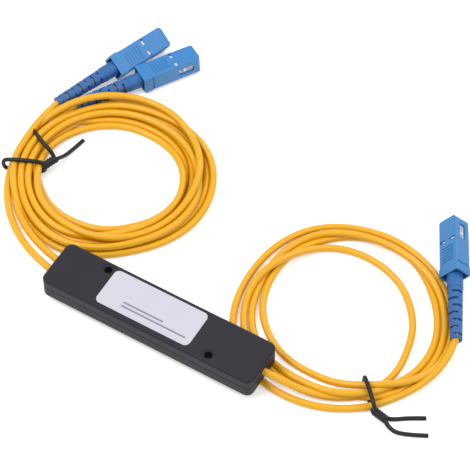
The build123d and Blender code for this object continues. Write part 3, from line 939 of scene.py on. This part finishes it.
@dataclass
class Studio:
    """The pale floor, the soft light and the photograph's viewpoint."""

    azimuth: float = 30.70
    elevation: float = 54.50
    distance: float = 850.0
    target: Point = (5.0, 46.87, 0.0)
    focal: float = 172.9
    sensor: float = 36.0
    clip: tuple[float, float] = (0.01, 10.0)
    world_light: float = 0.44
    floor_lift: float = 0.36
    floor_size: float = 3.0
    floor_grey: float = 0.93
    floor_roughness: float = 0.9
    floor_specular: float = 0.1
    lamp_target: Point = (0.0, 0.05, 0.0)
    lamps: tuple[Lamp, ...] = (
        Lamp("key_light", (-0.35, -0.25, 0.75), 0.55, 5.3),
        Lamp("fill_light", (0.55, 0.05, 0.6), 0.7, 2.3),
        Lamp("back_light", (0.05, 0.75, 0.6), 0.7, 2.4),
    )

    def build(self) -> None:
        """Build the floor, lamps, world and camera."""
        self._floor()
        self._world()
        for lamp in self.lamps:
            lamp.build(Vector(self.lamp_target))
        self._camera()
        bpy.context.scene.view_settings.view_transform = "Standard"

    @staticmethod
    def _share_when_seen(tree: bpy.types.NodeTree, least: float, extra: float) -> bpy.types.NodeSocket:
        """A strength that rises by an extra amount where the camera sees the surface.

        Args:
            tree: The tree that needs the strength.
            least: The strength for all other rays.
            extra: What is added for what the camera sees.

        Returns:
            The socket that carries the strength.
        """
        path = tree.nodes.new("ShaderNodeLightPath")
        direct = math_node(tree, "ADD", path.outputs["Is Camera Ray"], path.outputs["Is Glossy Ray"])
        mask = math_node(tree, "ADD", direct, path.outputs["Is Transmission Ray"], clamp=True)
        return math_node(tree, "MULTIPLY_ADD", mask, extra, least)

    def _floor(self) -> None:
        """A large plain floor just under the part."""
        bpy.ops.object.select_all(action="DESELECT")
        bpy.ops.mesh.primitive_plane_add(size=self.floor_size, location=(0, 0, SURFACE_Z * MM))
        floor = bpy.context.active_object
        floor.name = "floor"
        material = bpy.data.materials.new("floor_paper")
        material.use_nodes = True
        tree = material.node_tree
        shader = next(n for n in tree.nodes if n.type == "BSDF_PRINCIPLED")
        grey = self.floor_grey
        shader.inputs["Base Color"].default_value = (grey, grey, grey, 1.0)
        shader.inputs["Roughness"].default_value = self.floor_roughness
        shader.inputs["Specular IOR Level"].default_value = self.floor_specular
        shader.inputs["Emission Color"].default_value = (1.0, 1.0, 1.0, 1.0)
        strength = self._share_when_seen(tree, 0.0, self.floor_lift)
        tree.links.new(strength, shader.inputs["Emission Strength"])
        floor.data.materials.append(material)

    def _world(self) -> None:
        """A plain white surround that lights softly."""
        world = bpy.data.worlds.new("soft_white")
        world.use_nodes = True
        shade = world.node_tree.nodes["Background"]
        shade.inputs["Color"].default_value = (1.0, 1.0, 1.0, 1.0)
        strength = self._share_when_seen(world.node_tree, self.world_light, 1.0 - self.world_light)
        world.node_tree.links.new(strength, shade.inputs["Strength"])
        bpy.context.scene.world = world

    def _camera(self) -> None:
        """The camera at the photograph's viewpoint."""
        azimuth, elevation = math.radians(self.azimuth), math.radians(self.elevation)
        back = Vector((
            math.sin(azimuth) * math.cos(elevation), -math.cos(azimuth) * math.cos(elevation),
            math.sin(elevation),
        ))
        target = Vector(self.target) * MM
        lens = bpy.data.cameras.new("photo_view")
        lens.lens = self.focal
        lens.sensor_width = self.sensor
        lens.clip_start, lens.clip_end = self.clip
        camera = bpy.data.objects.new("photo_view", lens)
        camera.location = target + back * self.distance * MM
        camera.rotation_euler = (-back).to_track_quat("-Z", "Y").to_euler()
        bpy.context.scene.collection.objects.link(camera)
        bpy.context.scene.camera = camera


@dataclass
class Coupler:
    """The whole part: the frame's rigid pieces, three cords and two ties."""

    frame: dict
    palette: Palette

    def build(self) -> None:
        """Build every piece."""
        self._dress_frame()
        self._press_springs()
        laid = self._lay_coils()
        ties = {side: tie.build(self.palette) for side, tie in self._ties().items()}
        for pigtail in self._pigtails():
            cord = pigtail.build(laid[pigtail.name], self.palette)
            riders = [self.frame["nodes"][f"{pigtail.plug}_{piece}"] for piece in PLUG_PIECES]
            if pigtail.plug in ties:
                riders.append(ties[pigtail.plug])
            length = curve_length(cord)
            log.info("%s length %.3f m", pigtail.name, length)

    @staticmethod
    def _lay_coils() -> dict[str, list[Point]]:
        """Settle both coils.

        Returns:
            The points of each cord's turns in millimetres, by the cord's name.
        """
        right = CoilBed(
            INPUT_COIL_CENTRE, Wind.ANTICLOCKWISE,
            [Strand("input_cord", 10.0, INPUT_TURNS, INPUT_LAYERS, 1515.0)],
            270.0, ["input"], under_module=True, top_limits=[(INPUT_TIE_ANGLE, -2.95)],
        )
        left = CoilBed(
            OUTPUT_COIL_CENTRE, Wind.CLOCKWISE,
            [
                Strand("output_a_cord", 15.0, OUTPUT_A_TURNS, OUTPUT_A_LAYERS, 1492.5),
                Strand("output_b_cord", 0.0, OUTPUT_B_TURNS, OUTPUT_B_LAYERS, 1505.0),
            ],
            225.0, ["output_a", "output_b"], top_limits=[(OUTPUT_TIE_ANGLE, -2.4)],
        )
        return {**right.lay(), **left.lay()}

    @staticmethod
    def _ties() -> dict[str, WireTie]:
        """The two ties, with their twists and free ends as they lie.

        Returns:
            Each tie, by the plug of the cord that it goes with.
        """
        return {
            "input": WireTie(
                "input_tie", INPUT_COIL_CENTRE, INPUT_TIE_ANGLE, 27.6, 41.8, -0.9,
                [(85.7, 8.3, -4.2), (90.8, 8.3, -6.1)],
                [
                    [(93.4, 10.2, -6.7), (97.2, 13.2, -6.7), (103.0, 16.5, -6.7)],
                    [(92.8, 6.4, -6.7), (97.8, 5.4, -6.7), (107.0, 10.5, -6.7)],
                ],
            ),
            "output_a": WireTie(
                "output_tie", OUTPUT_COIL_CENTRE, OUTPUT_TIE_ANGLE, 26.0, 42.4, -0.35,
                [(-76.7, 38.0, -3.0), (-74.6, 44.9, -3.4)],
                [
                    [(-77.4, 45.6, -1.0), (-83.0, 47.2, 0.0), (-88.5, 50.2, 0.0)],
                    [(-73.6, 48.2, -5.4), (-73.0, 53.0, -6.7), (-71.8, 60.0, -6.7)],
                ],
            ),
        }

    @staticmethod
    def _pigtails() -> list[Pigtail]:
        """The three cords, each with its lead out of the module and its way into its boot.

        Returns:
            The cords, input first.
        """
        return [
            Pigtail(
                "input_cord",
                [(41.0, 0.0, 0.55), (49.5, 0.0, 0.55), (57.5, 1.2, -2.3)],
                [(99.4, 34.0, -3.6), (100.9, 42.6, -1.8)],
                "input", ["input_lead", "input_coil", "input_tail", "input_cord_end"],
                (45.0, 0.0, 0.55),
            ),
            Pigtail(
                "output_a_cord",
                [
                    (-41.0, -2.4, 0.55), (-50.0, -2.4, 0.55), (-60.5, 2.4, -0.9), (-70.0, 8.2, -2.8),
                    (-78.6, 15.8, -4.5), (-84.0, 24.0, -5.7),
                ],
                [(-90.7, 61.7, -2.3)],
                "output_a", ["output_a_lead", "output_coil", "output_a_tail", "output_a_cord_end"],
                (-45.0, -2.4, 0.55),
            ),
            Pigtail(
                "output_b_cord",
                [
                    (-41.0, 2.4, 0.55), (-49.0, 2.4, 0.55), (-58.0, 5.8, -0.5), (-67.0, 10.4, -1.9),
                    (-74.4, 16.6, -3.2),
                ],
                [(-85.4, 66.0, -3.4)],
                "output_b", ["output_b_lead", "output_coil", "output_b_tail", "output_b_cord_end"],
                (-45.0, 2.4, 0.55),
            ),
        ]

    def _press_springs(self) -> None:
        """Give each ferrule's spring a mesh of its own."""
        for plug, place in PLUGS.items():
            rear, front = place.along(SPRING_REAR), place.along(SPRING_FRONT)
            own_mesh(self.frame["nodes"][f"{plug}_spring"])
            log.info("%s spring follows its ferrule", plug)

    def _dress_frame(self) -> None:
        """Give every carried-over node its finish."""
        slots = {entry["node"]: entry["material_slot"] for entry in self.frame["record"]["subparts"]}
        for node, piece in self.frame["nodes"].items():
            self.palette.dress(piece, slots[node])
        log.info("dressed %d nodes", len(slots))


def main() -> None:
    """Load the frame and build everything."""
    logging.basicConfig(level=logging.INFO, format="%(message)s")
    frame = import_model()
    palette = Palette(Effects())
    Coupler(frame, palette).build()
    Studio().build()


if __name__ == "__main__":
    main()
